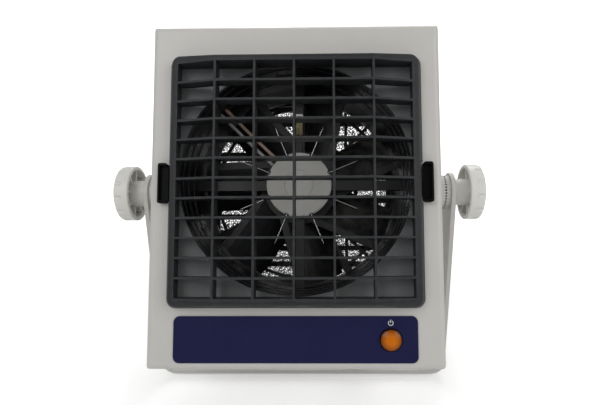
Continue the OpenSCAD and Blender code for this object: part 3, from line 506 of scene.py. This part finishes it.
# %% [markdown]
# ### Label film
# The front label is a thin screen-printed film in dark navy with a satin face. The field
# is left without print apart from a mark over the lamp.

# %% Label film
label_film = finish("label_film", display(30, 31, 68), 0.36, grain=0.25, bump=0.10, vary=0.03,
                    edge=0.3, wear=0.2, worn=display(70, 70, 108), dust=0.02, specular=0.1)
print("material:", label_film.name)

# %% [markdown]
# ### Amber lens
# The lamp's lens is tinted plastic. A little subsurface scattering gives it depth, the
# colour darkens with the distance from the lamp's centre as painted shade towards the
# rim, and a fine Voronoi bump stands for the ridges inside the lens.

# %% Amber lens
amber_lens = bpy.data.materials.new("amber_lens")
amber_lens.use_nodes = True
tree = amber_lens.node_tree
shader = tree.nodes["Principled BSDF"]
shader.inputs["Roughness"].default_value = 0.12
shader.inputs["Coat Weight"].default_value = 0.15
shader.inputs["Specular IOR Level"].default_value = 0.15
shader.inputs["Subsurface Weight"].default_value = 0.35
shader.inputs["Subsurface Radius"].default_value = (0.002, 0.0008, 0.0002)
lens_low, lens_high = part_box("lamp_lens")
lens_place = add_node(tree, "ShaderNodeMapping", Vector=add_node(
    tree, "ShaderNodeTexCoord").outputs["Object"], Location=tuple(-(lens_low + lens_high) / 2))
lens_centre = add_node(tree, "ShaderNodeVectorMath", {"operation": "LENGTH"})
tree.links.new(lens_place.outputs["Vector"], lens_centre.inputs[0])
radius = math_node(tree, "DIVIDE", lens_centre.outputs["Value"], 5.2 * MM)
# Painted shade: the lens is a lighter amber in the middle and a darker amber towards its rim.
painted_rim_shade = add_node(tree, "ShaderNodeMapRange", Value=radius, From_Min=0.55, From_Max=0.98)
amber = mix_colour(tree, painted_rim_shade.outputs["Result"], display(206, 112, 0), display(118, 58, 2))
tree.links.new(amber, shader.inputs["Base Color"])
facets = add_node(tree, "ShaderNodeTexVoronoi", Vector=lens_place.outputs["Vector"], Scale=900.0)
relief = add_node(tree, "ShaderNodeBump", Strength=0.25, Distance=0.0002,
                  Height=facets.outputs["Distance"])
tree.links.new(relief.outputs["Normal"], shader.inputs["Normal"])
print("material:", amber_lens.name)

# %% [markdown]
# ### Put the finishes on the rigid pieces
# The CAD record names a material slot for every piece. A finish with the same name as the
# slot goes on each of them, by assignment to the piece's own material slots. The packed
# model already has materials with those names, so Blender adds a suffix such as .001 to
# the new ones. The lookup drops it, and the count printed shows how many pieces matched.

# %% Assign finishes
finishes = {m.name.split(".")[0]: m for m in (
    painted_steel, slate_plastic, baffle_plastic, black_plastic, gloss_black, fan_plastic,
    fan_metal, knob_plastic, ring_plastic, hub_plastic, rubber, potting, board_parts, zinc_steel,
    brass, needle_steel, pin_metal, motor_winding, circuit_board, label_film, amber_lens)}


def dress(piece, material):
    """Gives a piece one material in every slot it has."""
    if not piece.data.materials:
        piece.data.materials.append(material)
    for index in range(len(piece.data.materials)):
        piece.data.materials[index] = material


slots = {part["node"]: part["material_slot"] for part in frame["record"]["subparts"]}
for name, piece in nodes.items():
    if slots[name] in finishes:
        dress(piece, finishes[slots[name]])
print("left for new pieces:", sorted({slots[n] for n in nodes} - set(finishes)))
print("pieces dressed:", sum(slots[n] in finishes for n in nodes), "of", len(nodes))

# %% [markdown]
# ## New pieces
# Each new piece is drawn in the unit's own frame in millimetres and then moved into place
# in one step, so its object can stay at the origin.

# %% Helpers for new pieces


def make_piece(name, mesh, material, body, replaces=(), smooth=True):
    """Turns a bmesh drawn in the unit's frame, in mm, into a finished piece on a body."""
    bmesh.ops.transform(mesh, matrix=unit @ Matrix.Scale(MM, 4), verts=mesh.verts)
    data = bpy.data.meshes.new(name)
    mesh.to_mesh(data)
    mesh.free()
    if smooth:
        data.shade_smooth()
    data.materials.append(material)
    piece = bpy.data.objects.new(name, data)
    scene.collection.objects.link(piece)
    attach(piece, body)
    if replaces:
        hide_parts(*replaces)
    print(name, "faces:", len(data.polygons))
    return piece


def mm(vector):
    """Metres to millimetres."""
    return vector * 1000


# %% [markdown]
# ### Filter foam
# Reticulated foam is a web of fine struts with nothing between them. Modelling each strut
# would take millions of faces. Instead, a few thin sheets are set one behind another, and
# each shows a slice of the same three-dimensional Voronoi web: what lies between the
# struts is cut away with Alpha. Light from behind comes through in specks, as in real foam.

# %% Foam material
foam = bpy.data.materials.new("foam")
foam.use_nodes = True
tree = foam.node_tree
shader = tree.nodes["Principled BSDF"]
shader.inputs["Roughness"].default_value = 0.7
web_place = add_node(tree, "ShaderNodeTexCoord").outputs["Object"]
cloud = add_node(tree, "ShaderNodeTexNoise", Vector=web_place, Scale=300.0, Detail=2.0)
wobble = add_node(tree, "ShaderNodeVectorMath", {"operation": "SCALE"}, Scale=0.0012)
tree.links.new(cloud.outputs["Color"], wobble.inputs[0])
shifted = add_node(tree, "ShaderNodeVectorMath", {"operation": "ADD"})
tree.links.new(web_place, shifted.inputs[0])
tree.links.new(wobble.outputs["Vector"], shifted.inputs[1])
web = add_node(tree, "ShaderNodeTexVoronoi", {"feature": "DISTANCE_TO_EDGE"},
               Vector=shifted.outputs["Vector"], Scale=780.0)
strut = add_node(tree, "ShaderNodeMapRange", Value=web.outputs["Distance"], From_Min=0.12,
                 From_Max=0.07)
tree.links.new(strut.outputs["Result"], shader.inputs["Alpha"])
# Painted shade on the struts: each strut is lighter along its middle and darker towards its sides, as a round
# strut lit from the front.
painted_strut_shade = add_node(tree, "ShaderNodeMapRange", Value=web.outputs["Distance"], From_Min=0.0,
                 From_Max=0.14)
foam_colour = mix_colour(tree, painted_strut_shade.outputs["Result"], display(96, 96, 94),
                         display(44, 44, 45))
tree.links.new(foam_colour, shader.inputs["Base Color"])
print("material:", foam.name)

# %% Foam sheets
foam_low, foam_high = (mm(corner) for corner in unit_range("filter_foam"))
foam_points = [turn.transposed() @ vertex.co - fan_centre
               for vertex in nodes["filter_foam"].data.vertices]
foam_reach = 1000 * max(point.xz.length for point in foam_points)
half = foam_high.x
mesh = bmesh.new()
for share in (0.2, 0.8):
    sheet = bmesh.ops.create_circle(mesh, cap_ends=True, segments=96, radius=foam_reach,
                                    matrix=Matrix.Rotation(math.radians(90), 4, "X"))
    depth = foam_low.y + share * (foam_high.y - foam_low.y)
    bmesh.ops.translate(mesh, vec=(0, depth, 0), verts=sheet["verts"])
for axis in ((1, 0, 0), (-1, 0, 0), (0, 0, 1), (0, 0, -1)):
    bmesh.ops.bisect_plane(mesh, geom=mesh.verts[:] + mesh.edges[:] + mesh.faces[:],
                           plane_co=Vector(axis) * half, plane_no=axis, clear_outer=True)
foam_sheets = make_piece("foam_sheets", mesh, foam, "housing", ["filter_foam"], False)

# %% [markdown]
# ### Brush bristles
# The cleaning brush is a tuft of stiff hairs held in a metal clip. Each hair is a thin
# tapered cone with five sides, and small seeded differences in lean and length keep the
# tuft from looking like a comb.

# %% Bristle material
bristle = finish("bristle", display(204, 188, 148), 0.5, grain=0.2, bump=0.1, vary=0.12,
                 edge=0.05, wear=0.0, dust=0.0)

# %% Bristles
import random

random.seed(7)
tuft_low, tuft_high = (mm(corner) for corner in unit_range("brush_bristles"))
columns, rows = 16, 6
mesh = bmesh.new()
for column in range(columns):
    for row in range(rows):
        length = (tuft_high.z - tuft_low.z) * random.uniform(0.93, 0.99)
        hair = bmesh.ops.create_cone(mesh, cap_ends=True, segments=5, radius1=0.07, radius2=0.12,
                                     depth=length)["verts"]
        bmesh.ops.translate(mesh, vec=(0, 0, -length / 2), verts=hair)
        lean = Euler((random.uniform(-0.02, 0.02), random.uniform(-0.03, 0.03), 0)).to_matrix()
        bmesh.ops.rotate(mesh, cent=(0, 0, 0), matrix=lean, verts=hair)
        x = tuft_low.x + (column + 0.5) / columns * (tuft_high.x - tuft_low.x) * 0.92 + 0.16
        y = tuft_low.y + (row + 0.7) / (rows + 0.4) * (tuft_high.y - tuft_low.y)
        bmesh.ops.translate(mesh, vec=(x, y, tuft_high.z), verts=hair)
bristles = make_piece("bristles", mesh, bristle, "brush", ["brush_bristles"])

# %% [markdown]
# ### High-voltage leads
# Two silicone leads run from the emitter across the mouth, through the duct's wall and
# down to the high-voltage module. They are held at both ends, so they are drawn as round
# tubes along the same route as the CAD solids that they replace: a curve with a bevel.

# %% Lead material
lead_insulation = finish("lead_insulation", display(188, 188, 186), 0.42, grain=0.4, bump=0.1,
                         vary=0.05, edge=0.05, wear=0.0, dust=0.1)

copper_insulation = finish("copper_insulation", display(198, 168, 154), 0.4, grain=0.3,
                           bump=0.08, vary=0.06, edge=0.2, wear=0.1, dust=0.1)

# %% Smooth tubes


def smooth_tube(name, points, radius, material, body, replaces=()):
    """A round tube through points in the unit's frame, in mm, made a mesh."""
    curve = bpy.data.curves.new(name, "CURVE")
    curve.dimensions = "3D"
    curve.bevel_depth = radius
    curve.bevel_resolution = 3
    curve.resolution_u = 5
    curve.use_fill_caps = True
    spline = curve.splines.new("BEZIER")
    spline.bezier_points.add(len(points) - 1)
    for point, target in zip(points, spline.bezier_points):
        target.co = point
        target.handle_left_type = target.handle_right_type = "AUTO"
    drawn = bpy.data.objects.new(name, curve)
    scene.collection.objects.link(drawn)
    bpy.context.view_layer.update()
    mesh = bmesh.new()
    mesh.from_mesh(bpy.data.meshes.new_from_object(drawn))
    bpy.data.objects.remove(drawn)
    bmesh.ops.remove_doubles(mesh, verts=mesh.verts, dist=0.001)
    bmesh.ops.recalc_face_normals(mesh, faces=mesh.faces)
    return make_piece(name, mesh, material, body, replaces)


# %% Leads
LEAD_RADIUS = 0.95
lead_routes = {
    "lead_inner": [(-9.5, 34.6, 12.0), (-27.4, 34.6, 29.2), (-31.7, 34.0, 33.4),
                   (-36.0, 30.6, 37.6), (-39.6, 26.6, 41.0), (-43.2, 26.8, 44.5),
                   (-46.1, 25.8, 47.3), (-56, 21.8, 40), (-63, 20.8, 24), (-66, 19.8, 4),
                   (-66, 19.8, -24), (-63, 20.8, -44), (-57, 21.8, -58), (-54, 21.8, -66.9)],
    "lead_outer": [(-12.3, 34.6, 9.1), (-30.2, 34.6, 26.3), (-34.5, 34.0, 30.5),
                   (-38.8, 30.6, 34.7), (-42.4, 26.6, 38.2), (-46.0, 26.8, 41.6),
                   (-48.9, 25.8, 44.4), (-56, 25.8, 40), (-63, 24.8, 24), (-66, 25.8, 4),
                   (-66, 25.8, -24), (-63, 26.8, -44), (-57, 27.8, -58), (-54, 27.8, -66.9)]}
for name, route in lead_routes.items():
    covering = copper_insulation if name == "lead_inner" else lead_insulation
    smooth_tube(name, route, LEAD_RADIUS, covering, "housing", ["hv_leads"])

# %% [markdown]
# ### Printed marks
# The label is bare but for one thing: a general on/off mark over the lamp, a ring with a
# gap and a bar in it. The rocker switch has the usual bar and ring for on and off, and the
# speed knob has a row of plain ticks. Screen-printed ink is a thin raised layer, so each
# mark is a flat shape that is dropped onto the surface under it and given the thickness of
# the ink.

# %% Ink
INK = 0.06
white_ink = finish("white_ink", display(214, 214, 212), 0.45, grain=0.3, bump=0.05, vary=0.02,
                   edge=0.02, wear=0.0, dust=0.0)


def print_arc(mesh, centre, radius, width, start, sweep, steps=28):
    """A flat arc round a centre (x, z); start and sweep are degrees from the right."""
    old = set(mesh.verts)
    ends = [mesh.verts.new((radius + side * width / 2, 0, 0)) for side in (-1, 1)]
    line = mesh.edges.new(ends)
    bmesh.ops.rotate(mesh, cent=(0, 0, 0), verts=ends,
                     matrix=Matrix.Rotation(math.radians(-start), 3, "Y"))
    bmesh.ops.spin(mesh, geom=ends + [line], cent=(0, 0, 0), axis=(0, -1, 0),
                   angle=math.radians(sweep), steps=steps, use_merge=sweep >= 360)
    fresh = [vertex for vertex in mesh.verts if vertex not in old]
    bmesh.ops.translate(mesh, vec=(centre[0], 0, centre[1]), verts=fresh)


def print_bar(mesh, centre, width, length, angle=0.0):
    """A flat bar round a centre (x, z), upright at an angle of 0 degrees."""
    place = (Matrix.Translation((centre[0], 0, centre[1]))
             @ Matrix.Rotation(math.radians(angle), 4, "Y")
             @ Matrix.Diagonal((width, 1, length, 1)) @ Matrix.Rotation(math.radians(90), 4, "X"))
    bmesh.ops.create_grid(mesh, x_segments=1, y_segments=1, size=0.5, matrix=place)


def lay_ink(name, mesh, surface, inwards, body):
    """Drops a flat shape onto a CAD piece, along inwards, and makes it as thick as ink."""
    drawing = unit @ Matrix.Scale(MM, 4)
    aim = turn @ Vector(inwards)
    for vertex in mesh.verts:
        start = drawing @ (vertex.co - 200 * Vector(inwards))
        found, place, normal, face = nodes[surface].ray_cast(start, aim)
        vertex.co = drawing.inverted() @ place + 0.02 * Vector(inwards)
    raised = bmesh.ops.extrude_face_region(mesh, geom=mesh.faces[:])["geom"]
    bmesh.ops.translate(mesh, vec=-(INK + 0.02) * Vector(inwards),
                        verts=[part for part in raised if isinstance(part, bmesh.types.BMVert)])
    bmesh.ops.recalc_face_normals(mesh, faces=mesh.faces)
    return make_piece(name, mesh, white_ink, body, smooth=False)


# %% On/off mark over the lamp
lens_low, lens_high = (mm(corner) for corner in unit_range("lamp_lens"))
bezel_low, bezel_high = (mm(corner) for corner in unit_range("lamp_bezel"))
mark_x = (lens_low.x + lens_high.x) / 2
mark_z = bezel_high.z + 2.6
mesh = bmesh.new()
print_arc(mesh, (mark_x, mark_z), 1.15, 0.38, 125, 290)
print_bar(mesh, (mark_x, mark_z + 0.85), 0.38, 1.5)
lay_ink("lamp_mark", mesh, "label_plate", (0, 1, 0), "housing")

# %% Marks on the rocker
rocker_low, rocker_high = (mm(corner) for corner in unit_range("switch_rocker"))
rocker_x = (rocker_low.x + rocker_high.x) / 2
rocker_z = (rocker_low.z + rocker_high.z) / 2
quarter = (rocker_high.x - rocker_low.x) / 4
mesh = bmesh.new()
print_bar(mesh, (rocker_x + quarter, rocker_z), 0.6, 3.6)
print_arc(mesh, (rocker_x - quarter, rocker_z), 1.6, 0.6, 0, 360)
lay_ink("rocker_marks", mesh, "switch_rocker", (0, -1, 0), "rocker")

# %% Ticks round the speed knob
dial_low, dial_high = (mm(corner) for corner in unit_range("speed_knob"))
dial_x = (dial_low.x + dial_high.x) / 2
dial_z = (dial_low.z + dial_high.z) / 2
tick_reach = (dial_high.x - dial_low.x) / 2 + 2.6
mesh = bmesh.new()
for step in range(11):
    angle = -140 + 28 * step
    place = (dial_x + tick_reach * math.sin(math.radians(angle)),
             dial_z + tick_reach * math.cos(math.radians(angle)))
    print_bar(mesh, place, 0.5, 2.6 if step % 5 == 0 else 1.6, angle)
lay_ink("speed_ticks", mesh, "rear_panel", (0, -1, 0), "housing")
